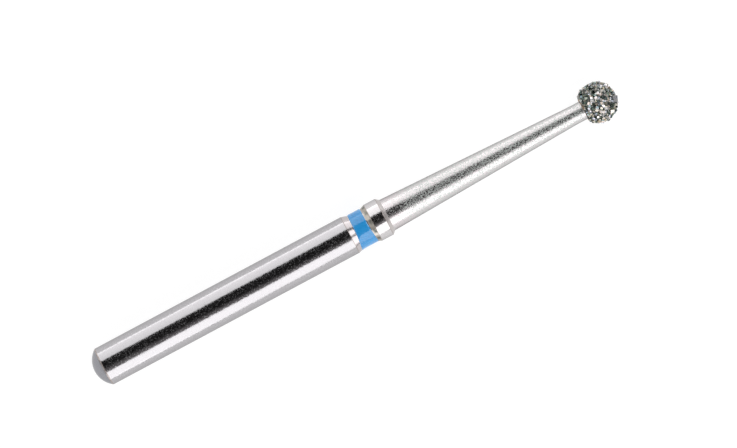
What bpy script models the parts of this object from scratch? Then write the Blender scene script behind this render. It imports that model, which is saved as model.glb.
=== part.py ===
"""Round diamond dental bur with a friction-grip shank.

The bur lies along +X with its axis on Z = 0 and its head at +X. The origin is the crown of the
shank's domed rear end, the point that meets the stop inside a handpiece's chuck.
It is three solids: the turned steel blank, the lacquer ring that codes the grit, and the coat of
diamond crystals held in electroplated nickel on the ball.
"""

import math
import random

import bmesh
import bpy
from mathutils import Matrix, Vector

MM = 0.001

# The whole bur, in millimetres. The head is measured over crystals of middling height
OVERALL_LENGTH = 23.350
SHANK_DIAMETER = 1.600
HEAD_DIAMETER = 1.670

# Steel blank
DOME_RADIUS = 0.970
DOME_EDGE_BREAK = 0.020
SHANK_LENGTH = 11.440
GROOVE_DEPTH = 0.078
REAR_BEVEL_LENGTH = 0.180
GROOVE_WIDTH = 0.655
COLLAR_BEVEL_LENGTH = 0.190
COLLAR_DIAMETER = 1.604
COLLAR_WIDTH = 0.505
COLLAR_FRONT_BEVEL = 0.170
NECK_ROOT_DIAMETER = 1.350
NECK_TIP_DIAMETER = 0.766
NECK_TIP_LENGTH = 0.490

# Lacquer ring. A bare strip of the groove shows behind it and in front of it
LACQUER_THICKNESS = 0.020
LACQUER_REAR_STRIP = 0.072
LACQUER_FRONT_STRIP = 0.024
LACQUER_EDGE_ROUND = 0.010
LACQUER_RUN_SHARE = 0.7

# Diamond coat
NICKEL_THICKNESS = 0.055
NICKEL_RIM_WALL = 0.030
CRYSTAL_PITCH = 0.132
CRYSTAL_HEIGHT_LOW = 0.030
CRYSTAL_HEIGHT_HIGH = 0.130
CRYSTAL_TOP_SHARE_LOW = 0.45
CRYSTAL_TOP_SHARE_HIGH = 0.80
CRYSTAL_TILT_DEGREES = 22.0
CRYSTAL_SCATTER = 0.30
CRYSTAL_LEAST_EDGE = 0.020
CRYSTAL_SEED = 18

# The lacquer and the nickel keep this gap to the steel, so that the solids don't share a face
FILM_GAP = 0.005

# Facets around each turned surface, and along its arcs
SEGMENTS = 64
DOME_STEPS = 10
BALL_STEPS = 14

WELD = 1e-5

# Places along the axis, each worked out from the sizes above
SHANK_RADIUS = SHANK_DIAMETER / 2
COLLAR_RADIUS = COLLAR_DIAMETER / 2
GROOVE_RADIUS = SHANK_RADIUS - GROOVE_DEPTH
NECK_ROOT_RADIUS = NECK_ROOT_DIAMETER / 2
NECK_TIP_RADIUS = NECK_TIP_DIAMETER / 2
CRYSTAL_HEIGHT = (CRYSTAL_HEIGHT_LOW + CRYSTAL_HEIGHT_HIGH) / 2
CORE_RADIUS = HEAD_DIAMETER / 2 - CRYSTAL_HEIGHT - NICKEL_THICKNESS - FILM_GAP
GROOVE_START = SHANK_LENGTH + REAR_BEVEL_LENGTH
GROOVE_END = GROOVE_START + GROOVE_WIDTH
COLLAR_START = GROOVE_END + COLLAR_BEVEL_LENGTH
COLLAR_END = COLLAR_START + COLLAR_WIDTH
NECK_START = COLLAR_END + COLLAR_FRONT_BEVEL
BALL_CENTRE = OVERALL_LENGTH - HEAD_DIAMETER / 2
NECK_END = BALL_CENTRE - math.sqrt(CORE_RADIUS**2 - NECK_TIP_RADIUS**2)
NECK_TAPER_END = NECK_END - NECK_TIP_LENGTH


def clear_scene():
    for obj in list(bpy.data.objects):
        bpy.data.objects.remove(obj)


def make_material(name, colour, metallic, roughness):
    material = bpy.data.materials.new(name)
    material.use_nodes = True
    shader = material.node_tree.nodes["Principled BSDF"]
    shader.inputs["Base Color"].default_value = (*colour, 1.0)
    shader.inputs["Metallic"].default_value = metallic
    shader.inputs["Roughness"].default_value = roughness
    return material


def arc(centre_x, radius, start_degrees, end_degrees, steps):
    """(x, radius) points of an arc about a centre on the axis. 0 degrees points along +X."""
    points = []
    for step in range(steps + 1):
        angle = math.radians(start_degrees + (end_degrees - start_degrees) * step / steps)
        points.append((centre_x + radius * math.cos(angle), radius * math.sin(angle)))
    return points


def turned(profile, segments):
    """A bmesh turned about X from (x, radius) points in millimetres, closed with its faces out."""
    bm = bmesh.new()
    verts = [bm.verts.new((x * MM, 0.0, max(r, 0.0) * MM)) for x, r in profile]
    edges = [bm.edges.new(pair) for pair in zip(verts, verts[1:])]
    if profile[0][1] > 0.0:
        edges.append(bm.edges.new((verts[-1], verts[0])))
    bmesh.ops.spin(
        bm, geom=verts + edges, cent=(0, 0, 0), axis=(1, 0, 0),
        angle=2 * math.pi, steps=segments, use_merge=True,
    )
    bmesh.ops.remove_doubles(bm, verts=bm.verts, dist=WELD * MM)
    bmesh.ops.recalc_face_normals(bm, faces=bm.faces)
    return bm


def add_object(name, bm, material, parent, sharp_degrees, x=0.0):
    mesh = bpy.data.meshes.new(name)
    bm.to_mesh(mesh)
    bm.free()
    mesh.shade_smooth()
    mesh.set_sharp_from_angle(angle=math.radians(sharp_degrees))
    mesh.materials.append(material)
    obj = bpy.data.objects.new(name, mesh)
    bpy.context.scene.collection.objects.link(obj)
    obj.parent = parent
    obj.location = (x * MM, 0.0, 0.0)
    return obj


def blank_profile():
    """The outline that one turning cuts, from the crown of the rear dome to the pole of the ball."""
    flat_radius = SHANK_RADIUS - DOME_EDGE_BREAK
    dome_angle = math.degrees(math.asin(flat_radius / DOME_RADIUS))
    dome = arc(DOME_RADIUS, DOME_RADIUS, 180.0, 180.0 - dome_angle, DOME_STEPS)
    ball_angle = 180.0 - math.degrees(math.asin(NECK_TIP_RADIUS / CORE_RADIUS))
    ball = arc(BALL_CENTRE, CORE_RADIUS, ball_angle, 0.0, BALL_STEPS)
    return [
        *dome,
        (dome[-1][0] + DOME_EDGE_BREAK, SHANK_RADIUS),
        (SHANK_LENGTH, SHANK_RADIUS),
        (GROOVE_START, GROOVE_RADIUS),
        (GROOVE_END, GROOVE_RADIUS),
        (COLLAR_START, COLLAR_RADIUS),
        (COLLAR_END, COLLAR_RADIUS),
        (NECK_START, NECK_ROOT_RADIUS),
        (NECK_TAPER_END, NECK_TIP_RADIUS),
        *ball,
    ]


def make_blank(material, parent):
    return add_object("steel_blank", turned(blank_profile(), SEGMENTS), material, parent, 12)


def make_lacquer_ring(material, parent):
    """The lacquer is wheeled on, so both its edges run wider on the side where the wheel lifts off."""
    inner = GROOVE_RADIUS + FILM_GAP
    outer = inner + LACQUER_THICKNESS
    half = (GROOVE_WIDTH - LACQUER_REAR_STRIP - LACQUER_FRONT_STRIP) / 2
    ring = turned(
        [
            (-half, inner),
            (-half + LACQUER_EDGE_ROUND, outer),
            (half - LACQUER_EDGE_ROUND, outer),
            (half, inner),
        ],
        SEGMENTS,
    )
    for vert in ring.verts:
        strip = LACQUER_FRONT_STRIP if vert.co.x > 0 else -LACQUER_REAR_STRIP
        side = (1.0 - vert.co.y / math.hypot(vert.co.y, vert.co.z)) / 2
        vert.co.x += strip * LACQUER_RUN_SHARE * side**2 * MM
    centre = GROOVE_START + LACQUER_REAR_STRIP + half
    return add_object("colour_ring", ring, material, parent, 30, centre)


def scattered_directions(count, rng):
    """Unit vectors spread evenly over a ball along a spiral, each pushed a little off its place."""
    golden = math.pi * (3.0 - math.sqrt(5.0))
    push = CRYSTAL_SCATTER * math.sqrt(4 * math.pi / count)
    for index in range(count):
        height = 1.0 - (2 * index + 1) / count
        around = math.sqrt(1.0 - height**2)
        place = Vector((height, around * math.cos(golden * index), around * math.sin(golden * index)))
        yield (place + Vector([rng.uniform(-push, push) for _ in range(3)])).normalized()


def crystal_cells(radius, count, rng):
    """A ball of many-sided cells, one for each crystal, whose corners lie midway between neighbours."""
    hull = bmesh.new()
    for place in scattered_directions(count, rng):
        hull.verts.new(place)
    bmesh.ops.convex_hull(hull, input=hull.verts)
    hull.normal_update()
    cells = bmesh.new()
    corner = {face: cells.verts.new(face.normal * radius * MM) for face in hull.faces}
    for vert in hull.verts:
        around = vert.normal.orthogonal().normalized()
        across = vert.normal.cross(around)

        def turn(face, around=around, across=across):
            return math.atan2(face.normal.dot(across), face.normal.dot(around))

        cells.faces.new([corner[face] for face in sorted(vert.link_faces, key=turn)])
    hull.free()
    bmesh.ops.remove_doubles(cells, verts=cells.verts, dist=CRYSTAL_LEAST_EDGE * MM)
    bmesh.ops.recalc_face_normals(cells, faces=cells.faces)
    return cells


def raise_crystals(cells, rng):
    """Lifts each cell to a crystal's flat top by its own height, then narrows the top and tips it."""
    for cell in list(cells.faces):
        height = rng.uniform(CRYSTAL_HEIGHT_LOW, CRYSTAL_HEIGHT_HIGH)
        bmesh.ops.inset_individual(cells, faces=[cell], thickness=0.0, depth=height * MM)
        centre = cell.calc_center_median()
        share = rng.uniform(CRYSTAL_TOP_SHARE_LOW, CRYSTAL_TOP_SHARE_HIGH)
        bmesh.ops.scale(cells, verts=cell.verts, vec=(share,) * 3, space=Matrix.Translation(-centre))
        axis = cell.normal.orthogonal()
        axis.rotate(Matrix.Rotation(rng.uniform(0.0, 2 * math.pi), 3, cell.normal))
        tilt = Matrix.Rotation(math.radians(rng.uniform(0.0, CRYSTAL_TILT_DEGREES)), 3, axis)
        bmesh.ops.rotate(cells, verts=cell.verts, cent=centre, matrix=tilt)


def make_diamond_coat(material, parent):
    """Nickel and crystals over the ball, hollowed by the ball and cut square where the neck comes out."""
    core_radius = CORE_RADIUS + FILM_GAP
    neck_radius = NECK_TIP_RADIUS + FILM_GAP
    nickel_radius = core_radius + NICKEL_THICKNESS
    rim = math.sqrt(nickel_radius**2 - (neck_radius + NICKEL_RIM_WALL) ** 2)
    rng = random.Random(CRYSTAL_SEED)
    count = round(4 * math.pi * nickel_radius**2 / CRYSTAL_PITCH**2)
    cells = crystal_cells(nickel_radius, count, rng)
    raise_crystals(cells, rng)
    coat = add_object("diamond_coat", cells, material, parent, 5, BALL_CENTRE)

    outside = 2 * nickel_radius
    neck_angle = 180.0 - math.degrees(math.asin(neck_radius / core_radius))
    hollow = turned(
        [
            (-outside, 0.0),
            (-outside, outside),
            (-rim, outside),
            (-rim, neck_radius),
            *arc(0.0, core_radius, neck_angle, 0.0, BALL_STEPS),
        ],
        SEGMENTS,
    )
    cutter = add_object("coat_hollow", hollow, material, parent, 30, BALL_CENTRE)
    cutter.hide_render = True
    cutter.display_type = "WIRE"
    cut = coat.modifiers.new("hollow", "BOOLEAN")
    cut.operation = "DIFFERENCE"
    cut.solver = "EXACT"
    cut.object = cutter
    return coat


def main():
    clear_scene()
    steel = make_material("ground_stainless_steel", (0.56, 0.55, 0.56), 1.0, 0.16)
    lacquer = make_material("blue_lacquer", (0.021, 0.246, 0.552), 0.0, 0.22)
    grit = make_material("diamond_in_nickel", (0.33, 0.34, 0.32), 0.8, 0.35)
    axis = bpy.data.objects.new("bur_axis", None)
    bpy.context.scene.collection.objects.link(axis)
    make_blank(steel, axis)
    make_lacquer_ring(lacquer, axis)
    make_diamond_coat(grit, axis)


main()
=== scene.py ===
"""Looks of a round diamond dental bur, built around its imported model.

Sizes are in millimetres, and places along the bur are measured from the crown of its domed end.
"""

import math
import random

import bmesh
import bpy
from mathutils import Euler, Matrix, Vector, noise
from mathutils.kdtree import KDTree


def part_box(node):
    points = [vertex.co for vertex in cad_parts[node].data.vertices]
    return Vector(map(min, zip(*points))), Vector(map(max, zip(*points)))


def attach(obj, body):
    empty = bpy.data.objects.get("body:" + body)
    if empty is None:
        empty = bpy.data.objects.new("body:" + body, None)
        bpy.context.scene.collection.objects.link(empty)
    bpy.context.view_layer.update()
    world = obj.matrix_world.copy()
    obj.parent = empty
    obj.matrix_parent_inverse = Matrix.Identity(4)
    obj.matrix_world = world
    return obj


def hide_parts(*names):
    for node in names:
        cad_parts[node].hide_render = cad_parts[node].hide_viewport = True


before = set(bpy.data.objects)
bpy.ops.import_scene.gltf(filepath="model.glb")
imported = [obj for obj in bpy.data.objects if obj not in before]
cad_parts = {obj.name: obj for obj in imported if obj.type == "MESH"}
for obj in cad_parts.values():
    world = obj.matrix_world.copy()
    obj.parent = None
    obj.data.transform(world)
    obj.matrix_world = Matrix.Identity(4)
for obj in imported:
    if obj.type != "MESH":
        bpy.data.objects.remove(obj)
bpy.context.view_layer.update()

# Steel blank
# One bar of hardened stainless steel, turned to its whole outline at one go: domed end, shank,
# colour groove, collar, long tapered neck and the ball that the diamonds are plated on. The shank is
# then ground between wheels until it shines, and the neck keeps the satin of the plating bath.
MM = 0.001
SHANK_RADIUS = 0.800
DOME_RADIUS = 0.975
SHANK_END = 11.440
GROOVE_START = 11.690
GROOVE_END = 12.275
GROOVE_RADIUS = 0.722
COLLAR_START = 12.465
COLLAR_END = 12.970
COLLAR_RADIUS = 0.802
NECK_START = 13.110
NECK_ROOT_RADIUS = 0.675
NECK_TIP_LENGTH = 0.490
NECK_TIP_RADIUS = 0.383
HEAD_CENTRE = 22.515
CORE_RADIUS = 0.695
EDGE_BREAK = 0.013
DOME_EDGE_BREAK = 0.030
GROOVE_FILLET = 0.040
CORNER_DEGREES = 10.0
BALL_MARGIN = 0.1
AROUND = 256
ARC_STEPS = 24

# Points closer together than WELD become one, and a point within TOUCH of a place counts as on it
WELD = 1e-5
TOUCH = 0.001


def arc(centre_x, radius, start, end, steps):
    """(x, radius) points of an arc about a centre on the axis, from one angle to another in degrees."""
    angles = [math.radians(start + (end - start) * step / steps) for step in range(steps + 1)]
    return [(centre_x + radius * math.cos(angle), radius * math.sin(angle)) for angle in angles]


def turned(outline, around):
    """A bmesh in millimetres: the outline's (x, radius) points turned a full circle about X."""
    bm = bmesh.new()
    verts = [bm.verts.new((x, 0.0, radius)) for x, radius in outline]
    edges = [bm.edges.new(pair) for pair in zip(verts, verts[1:])]
    if outline[0][1] > WELD:
        edges.append(bm.edges.new((verts[-1], verts[0])))
    bmesh.ops.spin(
        bm, geom=verts + edges, cent=(0, 0, 0), axis=(1, 0, 0),
        angle=math.tau, steps=around, use_merge=True,
    )
    bmesh.ops.remove_doubles(bm, verts=bm.verts, dist=WELD)
    bmesh.ops.recalc_face_normals(bm, faces=bm.faces)
    return bm


def piece(name, bm, materials, replaced, sharp_degrees):
    """Ends a bmesh in millimetres as a piece in metres that rides on the bur and stands for a CAD node."""
    bmesh.ops.scale(bm, verts=bm.verts, vec=(MM, MM, MM))
    mesh = bpy.data.meshes.new(name)
    bm.to_mesh(mesh)
    bm.free()
    mesh.shade_smooth()
    mesh.set_sharp_from_angle(angle=math.radians(sharp_degrees))
    for material in materials:
        mesh.materials.append(material)
    obj = bpy.data.objects.new(name, mesh)
    bpy.context.scene.collection.objects.link(obj)
    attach(obj, "root")
    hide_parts(replaced)


def linear(code):
    """An sRGB hex colour as linear red, green, blue and full opacity."""
    shares = [int(code[at:at + 2], 16) / 255 for at in (1, 3, 5)]
    return (*[s / 12.92 if s <= 0.04045 else ((s + 0.055) / 1.055) ** 2.4 for s in shares], 1.0)


def new_material(name):
    """An empty material, its Principled shader and its Object coordinates."""
    material = bpy.data.materials.new(name)
    material.use_nodes = True
    tree = material.node_tree
    shader = tree.nodes["Principled BSDF"]
    place = tree.nodes.new("ShaderNodeTexCoord").outputs["Object"]
    return material, tree, shader, place


def add(tree, kind, settings, links):
    """Adds a node. Settings are its properties, its sockets' values and a ramp's stops, and links are
    the outputs that feed its sockets. A colour Mix has its share at socket 0, its two colours at
    sockets 6 and 7 and its result at output 2."""
    node = tree.nodes.new(kind)
    for key, value in settings.items():
        if key == "stops":
            ramp = node.color_ramp.elements
            while len(ramp) < len(value):
                ramp.new(1.0)
            for stop, (position, colour) in zip(ramp, value):
                stop.position, stop.color = position, colour
        elif isinstance(key, int) or key in node.inputs:
            node.inputs[key].default_value = value
        else:
            setattr(node, key, value)
    for key, source in links.items():
        tree.links.new(source, node.inputs[key])
    return node


def dress(tree, shader, colour, roughness, normal):
    """Feeds a surface's colour, roughness and bumped normal to its shader."""
    for socket, source in (("Base Color", colour), ("Roughness", roughness), ("Normal", normal)):
        tree.links.new(source, shader.inputs[socket])


def grain(size):
    """A texture's scale for grains of this many millimetres."""
    return 1 / (size * MM)


GRIND_WIDTH = 0.02
GRIND_LENGTH = 0.6
SPECK_SIZE = 0.060


def ground_steel():
    """Stainless steel ground between wheels: a mirror across the bar, with faint rings and specks. The
    real ones are a few thousandths of a millimetre wide, drawn coarser here so that they show. The
    collar is a little brighter than the shank. Specular Tint is what the steel reflects at a glancing
    angle, less than a perfect metal would."""
    material, tree, shader, place = new_material("ground_stainless_steel")
    shader.inputs["Metallic"].default_value = 1.0
    shader.inputs["Specular Tint"].default_value = linear("#D4D4D4")
    squeezed = add(tree, "ShaderNodeMapping",
                   {"Scale": (grain(GRIND_WIDTH), grain(GRIND_LENGTH), grain(GRIND_LENGTH))},
                   {"Vector": place})
    rings = add(tree, "ShaderNodeTexNoise", {"Scale": 1.0, "Detail": 3.0},
                {"Vector": squeezed.outputs["Vector"]})
    specks = add(tree, "ShaderNodeTexNoise", {"Scale": grain(SPECK_SIZE), "Detail": 2.0, "Roughness": 0.6},
                 {"Vector": place})
    tone = add(tree, "ShaderNodeMapRange", {"From Min": 0.35, "From Max": 0.65},
               {"Value": specks.outputs["Fac"]})
    shank = add(tree, "ShaderNodeMix", {"data_type": "RGBA", 6: linear("#B0ADB0"), 7: linear("#B7B6B8")},
                {0: tone.outputs["Result"]})
    along = add(tree, "ShaderNodeSeparateXYZ", {}, {"Vector": place})
    collar = add(tree, "ShaderNodeMath", {"operation": "GREATER_THAN", 1: GROOVE_END * MM},
                 {0: along.outputs["X"]})
    colour = add(tree, "ShaderNodeMix", {"data_type": "RGBA", 7: linear("#CCC9CA")},
                 {0: collar.outputs["Value"], 6: shank.outputs[2]})
    rough = add(tree, "ShaderNodeMapRange",
                {"From Min": 0.45, "From Max": 0.72, "To Min": 0.12, "To Max": 0.33},
                {"Value": specks.outputs["Fac"]})
    ringed = add(tree, "ShaderNodeBump", {"Distance": 0.0002 * MM}, {"Height": rings.outputs["Fac"]})
    bump = add(tree, "ShaderNodeBump", {"Distance": 0.0012 * MM},
               {"Height": specks.outputs["Fac"], "Normal": ringed.outputs["Normal"]})
    dress(tree, shader, colour.outputs[2], rough.outputs["Result"], bump.outputs["Normal"])
    return material


# Each pair is a place along the bur and the colour of the turned faces there. The dark grey at the
# domed end is painted shade: it stands for the bur's own shadow on the floor that the dome reflects.
TURNED_TONES_AND_DOME_SHADE = (
    (1.0, "#96969B"), (11.4, "#C3BDBE"), (12.2, "#C3BDBE"),
    (12.3, "#AAA49C"), (12.5, "#AAA49C"), (12.9, "#C6C0BF"),
)
TOOL_MARK_WIDTH = 0.03
TOOL_MARK_LENGTH = 0.5
# The flank's green-grey darks are painted reflection of the dark surroundings: a ring of them round the
# bur, faded in from the foot of the flank and clouded so that some are missing.
PAINTED_REFLECTION_COUNT = 12
PAINTED_REFLECTION_TURN = math.radians(5.0)
PAINTED_REFLECTION_START = GROOVE_END + 0.02
PAINTED_REFLECTION_FULL = GROOVE_END + 0.10
PAINTED_REFLECTION_END = COLLAR_START + 0.03
CLOUD_SIZE = 0.20
CLOUD_SHARE = 3.0


def turned_steel():
    """Stainless steel as the cutting tool leaves it, with rings across the face. The domed end is a darker
    grey, painted shade for the bur's own shadow on the floor that the dome reflects. On the flank
    between the colour ring and the collar, green-grey darks are painted reflections of the dark
    surroundings, clouded so that some are missing. The real rings are finer, drawn coarser here so that
    they show."""
    material, tree, shader, place = new_material("turned_steel_with_painted_light")
    shader.inputs["Metallic"].default_value = 1.0
    shader.inputs["Specular Tint"].default_value = linear("#EDEDED")
    squeezed = add(tree, "ShaderNodeMapping",
                   {"Scale": (grain(TOOL_MARK_WIDTH), grain(TOOL_MARK_LENGTH), grain(TOOL_MARK_LENGTH))},
                   {"Vector": place})
    rings = add(tree, "ShaderNodeTexNoise", {"Scale": 1.0, "Detail": 3.0},
                {"Vector": squeezed.outputs["Vector"]})
    split = add(tree, "ShaderNodeSeparateXYZ", {}, {"Vector": place})
    share = add(tree, "ShaderNodeMath", {"operation": "DIVIDE", 1: NECK_START * MM},
                {0: split.outputs["X"]})
    cut = add(tree, "ShaderNodeValToRGB",
              {"stops": [(at / NECK_START, linear(code)) for at, code in TURNED_TONES_AND_DOME_SHADE]},
              {"Fac": share.outputs["Value"]})
    tone = add(tree, "ShaderNodeMapRange",
               {"From Min": 0.3, "From Max": 0.7, "To Min": 0.90, "To Max": 1.05},
               {"Value": rings.outputs["Fac"]})
    metal = add(tree, "ShaderNodeVectorMath", {"operation": "SCALE"},
                {0: cut.outputs["Color"], "Scale": tone.outputs["Result"]})
    around = add(tree, "ShaderNodeMath", {"operation": "ARCTAN2"},
                 {0: split.outputs["Y"], 1: split.outputs["Z"]})
    turns = add(tree, "ShaderNodeMath",
                {"operation": "MULTIPLY_ADD", 1: PAINTED_REFLECTION_COUNT, 2: -PAINTED_REFLECTION_COUNT * PAINTED_REFLECTION_TURN},
                {0: around.outputs["Value"]})
    wave = add(tree, "ShaderNodeMath", {"operation": "COSINE"}, {0: turns.outputs["Value"]})
    cloud = add(tree, "ShaderNodeTexNoise", {"Scale": grain(CLOUD_SIZE), "Detail": 2.0}, {"Vector": place})
    clouded = add(tree, "ShaderNodeMath", {"operation": "MULTIPLY_ADD", 1: CLOUD_SHARE},
                  {0: cloud.outputs["Fac"], 2: wave.outputs["Value"]})
    painted_darks = add(tree, "ShaderNodeMapRange", {"From Min": 1.2, "From Max": 2.7, "To Max": 0.85},
                {"Value": clouded.outputs["Value"]})
    rising = add(tree, "ShaderNodeMapRange",
                 {"From Min": PAINTED_REFLECTION_START * MM, "From Max": PAINTED_REFLECTION_FULL * MM},
                 {"Value": split.outputs["X"]})
    before_end = add(tree, "ShaderNodeMath", {"operation": "LESS_THAN", 1: PAINTED_REFLECTION_END * MM},
                     {0: split.outputs["X"]})
    flank = add(tree, "ShaderNodeMath", {"operation": "MULTIPLY"},
                {0: rising.outputs["Result"], 1: before_end.outputs["Value"]})
    painted_reflection_share = add(tree, "ShaderNodeMath", {"operation": "MULTIPLY"},
                  {0: painted_darks.outputs["Result"], 1: flank.outputs["Value"]})
    # Green-grey painted reflection laid over the flank's steel
    colour = add(tree, "ShaderNodeMix", {"data_type": "RGBA", 7: linear("#414946")},
                 {0: painted_reflection_share.outputs["Value"], 6: metal.outputs["Vector"]})
    rough = add(tree, "ShaderNodeMapRange", {"To Min": 0.14, "To Max": 0.28},
                {"Value": rings.outputs["Fac"]})
    bump = add(tree, "ShaderNodeBump", {"Distance": 0.0008 * MM}, {"Height": rings.outputs["Fac"]})
    dress(tree, shader, colour.outputs[2], rough.outputs["Result"], bump.outputs["Normal"])
    return material


PIT_SIZE = 0.045
MASK_END = 13.4
ETCH_START = 14.2
MASKED_SHARE = 0.095


def satin_steel():
    """Stainless steel etched by the plating bath: pits that scatter light, between smoother ground.
    The real pits are under a hundredth of a millimetre, drawn coarser here so that they show. Next to
    the collar the bath's mask kept the steel smoother."""
    material, tree, shader, place = new_material("satin_stainless_steel")
    shader.inputs["Metallic"].default_value = 1.0
    shader.inputs["Specular Tint"].default_value = linear("#A0A0A0")
    along = add(tree, "ShaderNodeSeparateXYZ", {}, {"Vector": place})
    masked = add(tree, "ShaderNodeMapRange", {
        "From Min": MASK_END * MM, "From Max": ETCH_START * MM, "To Min": MASKED_SHARE, "To Max": 0.0,
    }, {"Value": along.outputs["X"]})
    etched = add(tree, "ShaderNodeTexNoise", {"Scale": grain(PIT_SIZE), "Detail": 2.0, "Roughness": 0.7},
                 {"Vector": place})
    depth = add(tree, "ShaderNodeMath", {"operation": "SUBTRACT"},
                {0: etched.outputs["Fac"], 1: masked.outputs["Result"]})
    pits = add(tree, "ShaderNodeMapRange", {"From Min": 0.45, "From Max": 0.585},
               {"Value": depth.outputs["Value"]})
    colour = add(tree, "ShaderNodeMix", {"data_type": "RGBA", 6: linear("#D3CCCE"), 7: linear("#C0C7C3")},
                 {0: pits.outputs["Result"]})
    rough = add(tree, "ShaderNodeMapRange", {"To Min": 0.20, "To Max": 0.59},
                {"Value": pits.outputs["Result"]})
    bump = add(tree, "ShaderNodeBump", {"Distance": 0.006 * MM}, {"Height": etched.outputs["Fac"]})
    dress(tree, shader, colour.outputs[2], rough.outputs["Result"], bump.outputs["Normal"])
    return material


RUB_SIZE = 0.06


def broken_edge_steel():
    """Stainless steel at a corner that a stone has rubbed off: a dull hairline, browner than the rest."""
    material, tree, shader, place = new_material("stoned_stainless_edge")
    shader.inputs["Metallic"].default_value = 1.0
    rubbed = add(tree, "ShaderNodeTexNoise", {"Scale": grain(RUB_SIZE), "Detail": 2.0}, {"Vector": place})
    tone = add(tree, "ShaderNodeMapRange", {"From Min": 0.35, "From Max": 0.65},
               {"Value": rubbed.outputs["Fac"]})
    colour = add(tree, "ShaderNodeMix", {"data_type": "RGBA", 6: linear("#8F8581"), 7: linear("#B0A8A5")},
                 {0: tone.outputs["Result"]})
    rough = add(tree, "ShaderNodeMapRange", {"To Min": 0.30, "To Max": 0.50},
                {"Value": rubbed.outputs["Fac"]})
    bump = add(tree, "ShaderNodeBump", {"Distance": 0.002 * MM}, {"Height": rubbed.outputs["Fac"]})
    dress(tree, shader, colour.outputs[2], rough.outputs["Result"], bump.outputs["Normal"])
    return material


dome_angle = math.degrees(math.asin(SHANK_RADIUS / DOME_RADIUS))
dome = arc(DOME_RADIUS, DOME_RADIUS, 180.0, 180.0 - dome_angle, ARC_STEPS)
shank_start = dome[-1][0]
neck_end = HEAD_CENTRE - math.sqrt(CORE_RADIUS**2 - NECK_TIP_RADIUS**2)
ball_angle = 180.0 - math.degrees(math.asin(NECK_TIP_RADIUS / CORE_RADIUS))
blank = turned(
    [
        *dome,
        (SHANK_END, SHANK_RADIUS),
        (GROOVE_START, GROOVE_RADIUS),
        (GROOVE_END, GROOVE_RADIUS),
        (COLLAR_START, COLLAR_RADIUS),
        (COLLAR_END, COLLAR_RADIUS),
        (NECK_START, NECK_ROOT_RADIUS),
        (neck_end - NECK_TIP_LENGTH, NECK_TIP_RADIUS),
        *arc(HEAD_CENTRE, CORE_RADIUS, ball_angle, 0.0, ARC_STEPS),
    ],
    AROUND,
)
GROUND, TURNED, SATIN, BROKEN = range(4)
for face in blank.faces:
    at = face.calc_center_median().x
    polished = shank_start < at < SHANK_END or COLLAR_START < at < COLLAR_END
    face.material_index = GROUND if polished else SATIN if at > NECK_START else TURNED

# Outer corners are broken, the most at the dome. The feet of the groove are rounded, and the root of
# the neck stays sharp. The corner where the neck meets the ball is left as it is, under the nickel.
corners = [
    edge for edge in blank.edges
    if edge.calc_face_angle() > math.radians(CORNER_DEGREES) and edge.verts[0].co.x < neck_end - BALL_MARGIN
]
inner = [edge for edge in corners if edge.verts[0].co.yz.length < GROOVE_RADIUS + TOUCH]
feet = [edge for edge in inner if edge.verts[0].co.x < COLLAR_START]
outer = [edge for edge in corners if edge not in inner]
rear = [edge for edge in outer if edge.verts[0].co.x < shank_start + TOUCH]
front = [edge for edge in outer if edge not in rear]
for edges, width in ((rear, DOME_EDGE_BREAK), (front, EDGE_BREAK)):
    broken = bmesh.ops.bevel(
        blank, geom=edges, offset=width, offset_type="OFFSET", segments=3,
        profile=0.5, affect="EDGES", material=-1,
    )
    for face in broken["faces"]:
        face.material_index = BROKEN
bmesh.ops.bevel(
    blank, geom=feet, offset=GROOVE_FILLET, offset_type="OFFSET", segments=5,
    profile=0.5, affect="EDGES", material=-1,
)
steels = [ground_steel(), turned_steel(), satin_steel(), broken_edge_steel()]
piece("steel_blank_finished", blank, steels, "steel_blank", sharp_degrees=30.0)


# Colour ring
# Blue lacquer, the code for medium grit, wheeled into the groove while the bur spins and then baked.
# It is a glossy film of a few hundredths of a millimetre. Its edges waver, and on the side where the
# wheel lifts off they run up the groove's flanks and leave a small lump.
LACQUER_THICKNESS = 0.025
LEAST_THICKNESS = 0.004
LACQUER_GAP = 0.002
LACQUER_REAR = 11.692
LACQUER_FRONT = 12.251
LACQUER_COLUMNS = 24
EDGE_STEEPNESS = 10
REAR_RUN = 0.100
FRONT_RUN = 0.078
RUN_POWER = 3
WAVER_HEIGHT = 0.006
WAVERS_AROUND = 2
LUMP_HEIGHT = 0.010
LUMP_PLACE = 0.12
LUMP_WIDTH = 0.16
LUMP_ANGLE = math.radians(27.0)
LUMP_ARC = 0.16
OUTSIDE = 2.0
INSIDE = 1.0
FLOW_SIZE = 0.25


def blank_radius(x):
    """The steel's radius under the lacquer: the groove's floor and the flanks that rise from it."""
    rear = (GROOVE_START - x) / (GROOVE_START - SHANK_END) * (SHANK_RADIUS - GROOVE_RADIUS)
    front = (x - GROOVE_END) / (COLLAR_START - GROOVE_END) * (COLLAR_RADIUS - GROOVE_RADIUS)
    return GROOVE_RADIUS + max(rear, front, 0.0)


def blue_lacquer():
    """Baked enamel: an even blue under a glossy skin, with a faint unevenness from the wheel. Its IOR
    is above an enamel's usual 1.5, matched to how brightly the real ring shines."""
    material, tree, shader, place = new_material("blue_baked_lacquer")
    shader.inputs["IOR"].default_value = 1.7
    flow = add(tree, "ShaderNodeTexNoise", {"Scale": grain(FLOW_SIZE), "Detail": 2.0}, {"Vector": place})
    tone = add(tree, "ShaderNodeMapRange", {"From Min": 0.3, "From Max": 0.7},
               {"Value": flow.outputs["Fac"]})
    colour = add(tree, "ShaderNodeMix", {"data_type": "RGBA", 6: linear("#288ACA"), 7: linear("#3092D1")},
                 {0: tone.outputs["Result"]})
    rough = add(tree, "ShaderNodeMapRange", {"To Min": 0.06, "To Max": 0.12},
                {"Value": flow.outputs["Fac"]})
    bump = add(tree, "ShaderNodeBump", {"Distance": 0.002 * MM}, {"Height": flow.outputs["Fac"]})
    dress(tree, shader, colour.outputs[2], rough.outputs["Result"], bump.outputs["Normal"])
    return material


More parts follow.
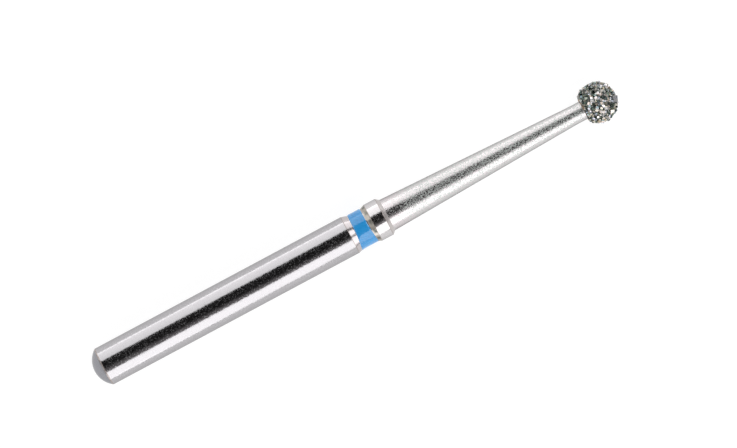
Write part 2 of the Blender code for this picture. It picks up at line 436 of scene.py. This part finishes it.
# A plain tube first. Its X is the share across the ring, and its radius only tells outside from inside.
columns = [step / LACQUER_COLUMNS for step in range(LACQUER_COLUMNS + 1)]
outer_wall = [(share, OUTSIDE) for share in columns]
inner_wall = [(share, INSIDE) for share in reversed(columns)]
ring = turned(outer_wall + inner_wall, AROUND)
for vert in ring.verts:
    share = vert.co.x
    outside = vert.co.yz.length > (OUTSIDE + INSIDE) / 2
    around = vert.co.yz.normalized()
    run = ((1.0 - around[0]) / 2) ** RUN_POWER
    spot = Vector((around[0] * WAVERS_AROUND, around[1] * WAVERS_AROUND, share))
    waver = WAVER_HEIGHT * noise.noise(spot)
    low = LACQUER_REAR - REAR_RUN * run + waver
    high = LACQUER_FRONT + FRONT_RUN * run + waver
    vert.co.x = low + (high - low) * share
    off_lump = math.atan2(-around[0], around[1]) - LUMP_ANGLE
    lump = math.exp(-((share - LUMP_PLACE) / LUMP_WIDTH) ** 2 - (off_lump / LUMP_ARC) ** 2)
    edge_share = min(1.0, EDGE_STEEPNESS * share, EDGE_STEEPNESS * (1 - share)) ** 0.5
    film = (LACQUER_THICKNESS + LUMP_HEIGHT * lump) * edge_share
    radius = blank_radius(vert.co.x) + (max(film, LEAST_THICKNESS) if outside else LACQUER_GAP)
    vert.co.y, vert.co.z = around[0] * radius, around[1] * radius
bmesh.ops.recalc_face_normals(ring, faces=ring.faces)
piece("colour_ring_lacquer", ring, [blue_lacquer()], "colour_ring", sharp_degrees=40.0)


# Nickel bond
# The nickel grows on the ball in a plating bath until it holds each crystal to about half its height.
# It climbs a little up each crystal, is dull and nodular between them, and ends in a thin skirt on
# the neck, browned at its rim. Its dark grey is painted shade, for the shade between the crystals.
NICKEL_RADIUS = 0.750
NICKEL_SKIRT = 0.030
NICKEL_GAP = 0.003
OUTER_STEPS = 110
INNER_STEPS = 40
MENISCUS_REACH = 0.075
MENISCUS_HEIGHT = 0.022
SWELL_HEIGHT = 0.006
SWELLS_PER_MM = 25
NODULE_SIZE = 0.04
BROWN_WIDTH = 0.08
BROWN_PATCH_SIZE = 0.16
CRYSTAL_COUNT = 700
CRYSTAL_SCATTER = 0.30
CRYSTAL_SEED = 684
RIM_MARGIN = 0.02

# The crystals' seats: an even spiral over the ball, each seat pushed a little off its place
crystal_rng = random.Random(CRYSTAL_SEED)
golden_turn = math.pi * (3.0 - math.sqrt(5.0))
push = CRYSTAL_SCATTER * math.sqrt(4 * math.pi / CRYSTAL_COUNT)
rim = math.sqrt(NICKEL_RADIUS**2 - (NECK_TIP_RADIUS + NICKEL_SKIRT) ** 2)
seats = []
for index in range(CRYSTAL_COUNT):
    height = 1.0 - (2 * index + 1) / CRYSTAL_COUNT
    width = math.sqrt(1.0 - height**2)
    turn = golden_turn * index
    seat = Vector((height, width * math.cos(turn), width * math.sin(turn)))
    seat += Vector([crystal_rng.uniform(-push, push) for _ in range(3)])
    seat.normalize()
    if seat.x * NICKEL_RADIUS > RIM_MARGIN - rim:
        seats.append(seat)


def plated_nickel():
    """Electroplated nickel, dull and nodular, browned in patches where it ends on the neck. Its dark grey
    is painted shade, for the shade that falls between the crystals. The real nodules are a few
    thousandths of a millimetre, drawn coarser here to show."""
    material, tree, shader, place = new_material("nickel_with_painted_shade")
    shader.inputs["Metallic"].default_value = 1.0
    nodules = add(tree, "ShaderNodeTexNoise", {"Scale": grain(NODULE_SIZE), "Detail": 4.0},
                  {"Vector": place})
    tone = add(tree, "ShaderNodeMapRange", {"From Min": 0.3, "From Max": 0.7},
               {"Value": nodules.outputs["Fac"]})
    # Dark grey: painted shade between the crystals
    metal = add(tree, "ShaderNodeMix", {"data_type": "RGBA", 6: linear("#1F2827"), 7: linear("#6C7470")},
                {0: tone.outputs["Result"]})
    along = add(tree, "ShaderNodeSeparateXYZ", {}, {"Vector": place})
    at_rim = add(tree, "ShaderNodeMapRange",
                 {"From Min": (HEAD_CENTRE - rim + BROWN_WIDTH) * MM, "From Max": (HEAD_CENTRE - rim) * MM},
                 {"Value": along.outputs["X"]})
    patches = add(tree, "ShaderNodeTexNoise", {"Scale": grain(BROWN_PATCH_SIZE), "Detail": 2.0},
                  {"Vector": place})
    browned = add(tree, "ShaderNodeMapRange", {"From Min": 0.46, "From Max": 0.54},
                  {"Value": patches.outputs["Fac"]})
    stain = add(tree, "ShaderNodeMath", {"operation": "MULTIPLY"},
                {0: at_rim.outputs["Result"], 1: browned.outputs["Result"]})
    colour = add(tree, "ShaderNodeMix", {"data_type": "RGBA", 7: linear("#A8896B")},
                 {0: stain.outputs["Value"], 6: metal.outputs[2]})
    rough = add(tree, "ShaderNodeMapRange", {"To Min": 0.34, "To Max": 0.52},
                {"Value": nodules.outputs["Fac"]})
    bump = add(tree, "ShaderNodeBump", {"Distance": 0.004 * MM}, {"Height": nodules.outputs["Fac"]})
    dress(tree, shader, colour.outputs[2], rough.outputs["Result"], bump.outputs["Normal"])
    return material


bond_inner = CORE_RADIUS + NICKEL_GAP
bond_neck = NECK_TIP_RADIUS + NICKEL_GAP
outer_angle = 180.0 - math.degrees(math.asin((NECK_TIP_RADIUS + NICKEL_SKIRT) / NICKEL_RADIUS))
inner_angle = 180.0 - math.degrees(math.asin(bond_neck / bond_inner))
bond = turned(
    [
        *arc(0.0, NICKEL_RADIUS, 0.0, outer_angle, OUTER_STEPS),
        (-rim, bond_neck),
        *arc(0.0, bond_inner, inner_angle, 0.0, INNER_STEPS),
    ],
    AROUND,
)
nearest_seat = KDTree(len(seats))
for index, seat in enumerate(seats):
    nearest_seat.insert(seat * NICKEL_RADIUS, index)
nearest_seat.balance()
for vert in bond.verts:
    if vert.co.length > NICKEL_RADIUS - TOUCH:
        distance = nearest_seat.find(vert.co)[2]
        rise = MENISCUS_HEIGHT * max(0.0, 1 - (distance / MENISCUS_REACH) ** 2)
        rise += SWELL_HEIGHT * noise.noise(vert.co * SWELLS_PER_MM)
        vert.co *= 1 + rise / NICKEL_RADIUS
bmesh.ops.translate(bond, verts=bond.verts, vec=(HEAD_CENTRE, 0, 0))
bmesh.ops.recalc_face_normals(bond, faces=bond.faces)
piece("nickel_bond", bond, [plated_nickel()], "diamond_coat", sharp_degrees=50.0)


# Diamond crystals
# Synthetic diamond of medium grit, about a tenth of a millimetre across: cubes and octahedra grown
# into each other, greenish and clear, each sunk in the nickel at its own tilt and height. One near
# the front is over twice as big as the rest.
CRYSTAL_SIZE = 0.100
SIZE_SPREAD = (0.75, 1.25)
STRETCH_SPREAD = (0.8, 1.15)
DEPTH_SPREAD = (-0.30, 0.42)
CORNER_CUT_SPREAD = (0.12, 0.44)
# How far each facet's tone moves at random: painted light, for how a clear crystal refracts and reflects
# differently at each facet
FACET_PAINTED_LIGHT_SPREAD = 0.36
SIDE_REACH = 0.856
FRONT_REACH = 0.800
REAR_REACH = 0.610
PULL_IN = 1.2
BIG_CRYSTAL_REACH = 0.856
BIG_CRYSTAL_SIZE = (0.215, 0.28, 0.20)
BIG_CRYSTAL_CENTRE = (0.645, -0.184, 0.317)
BIG_CRYSTAL_TURN_DEGREES = (0.0, 22.0, -25.0)
BIG_CRYSTAL_CORNER_CUT = 0.06
BIG_CRYSTAL_TONE = 0.53
BIG_CRYSTAL_ROOM = 0.15
FLAW_SIZE = 0.030

# A facet's colour by its own tone, from dark to bright, and the cast that each is given besides
DIAMOND_TONES = (
    (0.0, "#0C1714"), (0.12, "#40534D"), (0.27, "#80896E"), (0.40, "#7F97A6"),
    (0.54, "#BBA9A7"), (0.67, "#B3B99A"), (0.80, "#E1D4D6"), (1.0, "#EEE9EB"),
)
COLD_CAST = (0.88, 0.99, 1.14)
COLD_TO_WARM = (0.26, 0.04, -0.26)


def diamond():
    """Synthetic diamond over nickel: hard facets over a grey-green body, no two alike, each a little
    colder or warmer than the next. How bright each facet is, is partly painted light, for the light a
    clear crystal refracts and reflects differently at each facet. It is partly metallic, for the nickel
    that shines through."""
    material, tree, shader, place = new_material("diamond_with_painted_light")
    shader.inputs["Metallic"].default_value = 0.65
    own = add(tree, "ShaderNodeAttribute", {"attribute_name": "tone"}, {})
    flaws = add(tree, "ShaderNodeTexNoise", {"Scale": grain(FLAW_SIZE), "Detail": 2.0, "Roughness": 0.6},
                {"Vector": place})
    mixed = add(tree, "ShaderNodeMapRange",
                {"From Min": 0.3, "From Max": 0.7, "To Min": -0.20, "To Max": 0.20},
                {"Value": flaws.outputs["Fac"]})
    share = add(tree, "ShaderNodeMath", {"operation": "ADD"},
                {0: own.outputs["Fac"], 1: mixed.outputs["Result"]})
    body = add(tree, "ShaderNodeValToRGB",
               {"stops": [(at, linear(code)) for at, code in DIAMOND_TONES]},
               {"Fac": share.outputs["Value"]})
    hue = add(tree, "ShaderNodeTexWhiteNoise", {"noise_dimensions": "1D"}, {"W": own.outputs["Fac"]})
    cast = add(tree, "ShaderNodeVectorMath", {"operation": "MULTIPLY_ADD", 1: COLD_TO_WARM, 2: COLD_CAST},
               {0: hue.outputs["Value"]})
    colour = add(tree, "ShaderNodeVectorMath", {"operation": "MULTIPLY"},
                 {0: body.outputs["Color"], 1: cast.outputs["Vector"]})
    rough = add(tree, "ShaderNodeMapRange", {"To Min": 0.06, "To Max": 0.20},
                {"Value": flaws.outputs["Fac"]})
    bump = add(tree, "ShaderNodeBump", {"Distance": 0.004 * MM}, {"Height": flaws.outputs["Fac"]})
    dress(tree, shader, colour.outputs["Vector"], rough.outputs["Result"], bump.outputs["Normal"])
    return material


big = Vector(BIG_CRYSTAL_CENTRE)
big_stretch = Matrix.Diagonal((*BIG_CRYSTAL_SIZE, 1.0))
big_turn = Euler([math.radians(angle) for angle in BIG_CRYSTAL_TURN_DEGREES])
placed = [(big, big_stretch, big_turn, BIG_CRYSTAL_CORNER_CUT, BIG_CRYSTAL_TONE)]
for seat in seats:
    size = CRYSTAL_SIZE * crystal_rng.uniform(*SIZE_SPREAD)
    depth = crystal_rng.uniform(*DEPTH_SPREAD) * size
    turn = Euler([crystal_rng.uniform(0, math.tau) for _ in range(3)])
    stretch = Matrix.Diagonal([size * crystal_rng.uniform(*STRETCH_SPREAD) for _ in range(3)] + [1.0])
    centre = seat * (NICKEL_RADIUS + depth)
    corner_cut = crystal_rng.uniform(*CORNER_CUT_SPREAD)
    shade = crystal_rng.random()
    if (centre.xy - big.xy).length > BIG_CRYSTAL_ROOM or centre.z < 0:
        placed.append((centre, stretch, turn, corner_cut, shade))

# Each crystal is a cube with its corners cut off. One that stands out too far is pulled in.
head_centre = Vector((HEAD_CENTRE, 0.0, 0.0))
grit = bmesh.new()
grit.faces.layers.float.new("tone")
for centre, stretch, turn, corner_cut, shade in placed:
    one = bmesh.new()
    tone = one.faces.layers.float.new("tone")
    bmesh.ops.create_cube(one, size=1.0)
    bmesh.ops.bevel(
        one, geom=one.verts[:], offset=corner_cut, offset_type="OFFSET",
        segments=1, profile=0.5, affect="VERTICES", material=-1,
    )
    place = Matrix.Translation(centre) @ turn.to_matrix().to_4x4() @ stretch
    bmesh.ops.transform(one, matrix=place, verts=one.verts)
    front = BIG_CRYSTAL_REACH if centre is big else FRONT_REACH
    over = max(
        max(vert.co.x - front, abs(vert.co.y) - SIDE_REACH, abs(vert.co.z) - SIDE_REACH)
        for vert in one.verts
    )
    rearmost = min(vert.co.x for vert in one.verts)
    inward = centre.normalized() * -max(over, 0.0) * PULL_IN
    forward = Vector((max(-REAR_REACH - rearmost, 0.0), 0.0, 0.0))
    bmesh.ops.translate(one, verts=one.verts, vec=head_centre + inward + forward)
    # Each facet but the big crystal's gets its own random offset, painted light for refraction and
    # reflection
    for face in one.faces:
        own = 0.0 if centre is big else crystal_rng.uniform(-FACET_PAINTED_LIGHT_SPREAD, FACET_PAINTED_LIGHT_SPREAD)
        face[tone] = shade + own
    made = bpy.data.meshes.new("crystal")
    one.to_mesh(made)
    one.free()
    grit.from_mesh(made)
    bpy.data.meshes.remove(made)
bmesh.ops.recalc_face_normals(grit, faces=grit.faces)
piece("diamond_crystals", grit, [diamond()], "diamond_coat", sharp_degrees=5.0)


# Stage
# A white sweep: a round floor that rises into a low wall. The bur lies on it as it would on a bench,
# on the rear of its shank and on its head.
FLOOR_RADIUS = 600.0
WALL_HEIGHT = 60.0
SWEEP_RADIUS = 30.0
SWEEP_STEPS = 12
FLOOR_AROUND = 96
FLOOR_WELD = 1e-4
coat_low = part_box("diamond_coat")[0]
tilt = math.atan2(-SHANK_RADIUS * MM - coat_low.z, (HEAD_CENTRE - shank_start) * MM)
sweep = bmesh.new()
outline = [(0.0, 0.0), (FLOOR_RADIUS - SWEEP_RADIUS, 0.0)]
for step in range(1, SWEEP_STEPS + 1):
    angle = math.radians(90 * step / SWEEP_STEPS)
    reach = FLOOR_RADIUS - SWEEP_RADIUS + SWEEP_RADIUS * math.sin(angle)
    outline.append((reach, SWEEP_RADIUS - SWEEP_RADIUS * math.cos(angle)))
outline.append((FLOOR_RADIUS, WALL_HEIGHT))
verts = [sweep.verts.new((reach, 0.0, up)) for reach, up in outline]
edges = [sweep.edges.new(pair) for pair in zip(verts, verts[1:])]
bmesh.ops.spin(
    sweep, geom=verts + edges, cent=(0, 0, 0), axis=(0, 0, 1),
    angle=math.tau, steps=FLOOR_AROUND, use_merge=True,
)
bmesh.ops.remove_doubles(sweep, verts=sweep.verts, dist=FLOOR_WELD)
bmesh.ops.recalc_face_normals(sweep, faces=sweep.faces)
bmesh.ops.reverse_faces(sweep, faces=sweep.faces)
bmesh.ops.rotate(sweep, verts=sweep.verts, cent=(0, 0, 0), matrix=Matrix.Rotation(tilt, 3, "Y"))
bmesh.ops.translate(sweep, verts=sweep.verts, vec=(0, 0, -SHANK_RADIUS - shank_start * math.sin(-tilt)))
bmesh.ops.scale(sweep, verts=sweep.verts, vec=(MM, MM, MM))
floor_mesh = bpy.data.meshes.new("white_sweep")
sweep.to_mesh(floor_mesh)
sweep.free()
floor_mesh.shade_smooth()
floor = bpy.data.objects.new("white_sweep", floor_mesh)
bpy.context.scene.collection.objects.link(floor)

# White matt card. Seen by the camera or in the metal it is pure white. Near the bur a share of it is
# matt and takes the bur's shadow, and a glow makes up what the light on the floor leaves short of
# white. Further from the bur than its shadow reaches it is plain white.
CARD_REFLECTS = 0.85
SHADOW_SHARE = 0.25
LIGHT_ON_FLOOR = 0.69
SHADOW_REACH = 40.0


def grey(level, tint=(1.0, 1.0, 1.0)):
    """A linear grey of this level with full opacity, tinted where a tint is given."""
    return (*[level * share for share in tint], 1.0)


card = bpy.data.materials.new("white_card")
card.use_nodes = True
tree = card.node_tree
tree.nodes.remove(tree.nodes["Principled BSDF"])
paths = add(tree, "ShaderNodeLightPath", {}, {})
seen = add(tree, "ShaderNodeMath", {"operation": "MAXIMUM"},
           {0: paths.outputs["Is Camera Ray"], 1: paths.outputs["Is Glossy Ray"]})
seen = add(tree, "ShaderNodeMath", {"operation": "MAXIMUM"},
           {0: seen.outputs["Value"], 1: paths.outputs["Is Transmission Ray"]})
matt = add(tree, "ShaderNodeBsdfDiffuse", {"Color": grey(CARD_REFLECTS)}, {})
shadowed = add(tree, "ShaderNodeBsdfDiffuse", {"Color": grey(SHADOW_SHARE)}, {})
glow = add(tree, "ShaderNodeEmission", {"Strength": 1.0 - SHADOW_SHARE * LIGHT_ON_FLOOR}, {})
near_white = add(tree, "ShaderNodeAddShader", {},
                 {0: shadowed.outputs["BSDF"], 1: glow.outputs["Emission"]})
far_white = add(tree, "ShaderNodeEmission", {"Strength": 1.0}, {})
where = add(tree, "ShaderNodeTexCoord", {}, {})
away = add(tree, "ShaderNodeVectorMath", {"operation": "LENGTH"}, {0: where.outputs["Object"]})
far = add(tree, "ShaderNodeMapRange", {"From Min": SHADOW_REACH * MM, "From Max": 2 * SHADOW_REACH * MM},
          {"Value": away.outputs["Value"]})
white = add(tree, "ShaderNodeMixShader", {},
            {0: far.outputs["Result"], 1: near_white.outputs["Shader"], 2: far_white.outputs["Emission"]})
both = add(tree, "ShaderNodeMixShader", {},
           {0: seen.outputs["Value"], 1: matt.outputs["BSDF"], 2: white.outputs["Shader"]})
tree.links.new(both.outputs["Shader"], tree.nodes["Material Output"].inputs["Surface"])
floor_mesh.materials.append(card)


# Light
# Two long soft boxes lie along the bur, one on each side, with a dark gap between them overhead: it
# is what draws the black line down the polished shank. Each box is turned a little in its own plane,
# so the line leans over to one side towards the head.
BOX_DISTANCE = 90.0
BOX_LENGTH = 260.0
BOX_PIVOT = 2.0


def soft_box(name, middle, degrees, lowest, highest, side, radiance):
    """A long lamp beside the bur, turned in its own plane. Over the pivot its edges lie at two angles
    from straight up, on the given side in Y, and its middle is moved along its own length."""
    centre_angle = math.radians((lowest + highest) / 2)
    half = math.radians((highest - lowest) / 2)
    lamp = bpy.data.lights.new(name, "AREA")
    lamp.shape = "RECTANGLE"
    lamp.size = BOX_LENGTH * MM
    lamp.size_y = 2 * BOX_DISTANCE * math.tan(half) * math.cos(math.radians(degrees)) * MM
    lamp.energy = radiance * math.pi * lamp.size * lamp.size_y
    turn = Matrix.Rotation(-side * centre_angle, 3, "X") @ Matrix.Rotation(math.radians(degrees), 3, "Z")
    obj = bpy.data.objects.new(name, lamp)
    bpy.context.scene.collection.objects.link(obj)
    obj.location = (Vector((BOX_PIVOT, 0, 0)) + turn @ Vector((middle, 0, BOX_DISTANCE))) * MM
    obj.rotation_euler = turn.to_euler()
    obj.visible_camera = False


soft_box("key_box", middle=-20.0, degrees=20.0, lowest=33.5, highest=85.5, side=-1, radiance=1.92)
soft_box("fill_box", middle=40.0, degrees=8.0, lowest=35.5, highest=93.0, side=1, radiance=1.40)

# The grey tent round the boxes. Each pair is a place from 0 to 1, along the bur or across it, and the
# light there. The ends of the tent glow most in the middle of their width, and its sides are nearly
# black. Up ahead of the bur the light comes through a slit instead, which draws the bright streak on
# the flank behind the colour ring and the glints on the front of the head.
TENT_LEVEL = 1.45
END_LIGHT_ALONG = (
    (0.03, 0.60), (0.08, 0.46), (0.16, 0.62), (0.23, 0.66), (0.33, 0.0),
    (0.67, 0.0), (0.78, 0.85), (0.87, 0.95), (0.95, 0.55), (0.99, 0.22),
)
END_LIGHT_ACROSS = ((0.20, 0.05), (0.32, 0.6), (0.42, 1.0), (0.58, 1.0), (0.68, 0.6), (0.80, 0.05))
SLIT_LIGHT_ACROSS = (
    (0.25, 0.0), (0.30, 0.05), (0.41, 0.05), (0.46, 2.2), (0.65, 2.2), (0.70, 0.05), (0.78, 0.0),
)
SLIT_LOWEST = 0.45
SIDE_LIGHT_ACROSS = (
    (0.0, 0.11), (0.31, 0.12), (0.353, 0.059), (0.40, 0.024), (0.45, 0.012), (0.50, 0.007),
    (0.80, 0.010), (0.864, 0.028), (0.93, 0.088), (0.978, 0.142), (1.0, 0.26),
)
SIDE_TINT = (1.06, 1.0, 1.02)
world = bpy.data.worlds.new("grey_tent")
bpy.context.scene.world = world
world.use_nodes = True
tree = world.node_tree
background = tree.nodes["Background"]
direction = add(tree, "ShaderNodeTexCoord", {}, {})
split = add(tree, "ShaderNodeSeparateXYZ", {}, {"Vector": direction.outputs["Generated"]})
from_0_to_1 = {"operation": "MULTIPLY_ADD", 1: 0.5, 2: 0.5}
along = add(tree, "ShaderNodeMath", from_0_to_1, {0: split.outputs["X"]})
across = add(tree, "ShaderNodeMath", from_0_to_1, {0: split.outputs["Y"]})
ends = add(tree, "ShaderNodeValToRGB",
           {"stops": [(at, grey(level)) for at, level in END_LIGHT_ALONG]},
           {"Fac": along.outputs["Value"]})
middle = add(tree, "ShaderNodeValToRGB",
             {"stops": [(at, grey(level)) for at, level in END_LIGHT_ACROSS]},
             {"Fac": across.outputs["Value"]})
slit = add(tree, "ShaderNodeValToRGB",
           {"stops": [(at, grey(level)) for at, level in SLIT_LIGHT_ACROSS]},
           {"Fac": across.outputs["Value"]})
sides = add(tree, "ShaderNodeValToRGB",
            {"stops": [(at, grey(level, SIDE_TINT)) for at, level in SIDE_LIGHT_ACROSS]},
            {"Fac": across.outputs["Value"]})
ahead = add(tree, "ShaderNodeMath", {"operation": "GREATER_THAN", 1: 0.0}, {0: split.outputs["X"]})
upward = add(tree, "ShaderNodeMath", {"operation": "GREATER_THAN", 1: SLIT_LOWEST}, {0: split.outputs["Z"]})
up_ahead = add(tree, "ShaderNodeMath", {"operation": "MULTIPLY"},
               {0: ahead.outputs["Value"], 1: upward.outputs["Value"]})
opening = add(tree, "ShaderNodeMix", {"data_type": "RGBA"},
              {0: up_ahead.outputs["Value"], 6: middle.outputs["Color"], 7: slit.outputs["Color"]})
tent = add(tree, "ShaderNodeVectorMath", {"operation": "MULTIPLY_ADD"},
           {0: ends.outputs["Color"], 1: opening.outputs[2], 2: sides.outputs["Color"]})
tree.links.new(tent.outputs["Vector"], background.inputs["Color"])
background.inputs["Strength"].default_value = TENT_LEVEL


# Camera
# Straight above the bur, turned so that the bur climbs from lower left to upper right. The lens makes
# a millimetre of it as many pixels wide as in the photograph.
PHOTO_WIDTH_PX = 737
PX_PER_MM = 25.3
BUR_CLIMB_DEGREES = 28.148
LOOK_AT = (12.287, 0.038)
CAMERA_HEIGHT = 175.0
camera = bpy.data.cameras.new("camera")
camera.sensor_width = 36.0
camera.lens = camera.sensor_width * CAMERA_HEIGHT / (PHOTO_WIDTH_PX / PX_PER_MM)
camera.clip_start = 0.01
camera.clip_end = 10.0
viewer = bpy.data.objects.new("camera", camera)
bpy.context.scene.collection.objects.link(viewer)
viewer.location = (LOOK_AT[0] * MM, LOOK_AT[1] * MM, CAMERA_HEIGHT * MM)
viewer.rotation_euler = (0.0, 0.0, math.radians(-BUR_CLIMB_DEGREES))
bpy.context.scene.camera = viewer
bpy.context.scene.view_settings.view_transform = "Standard"
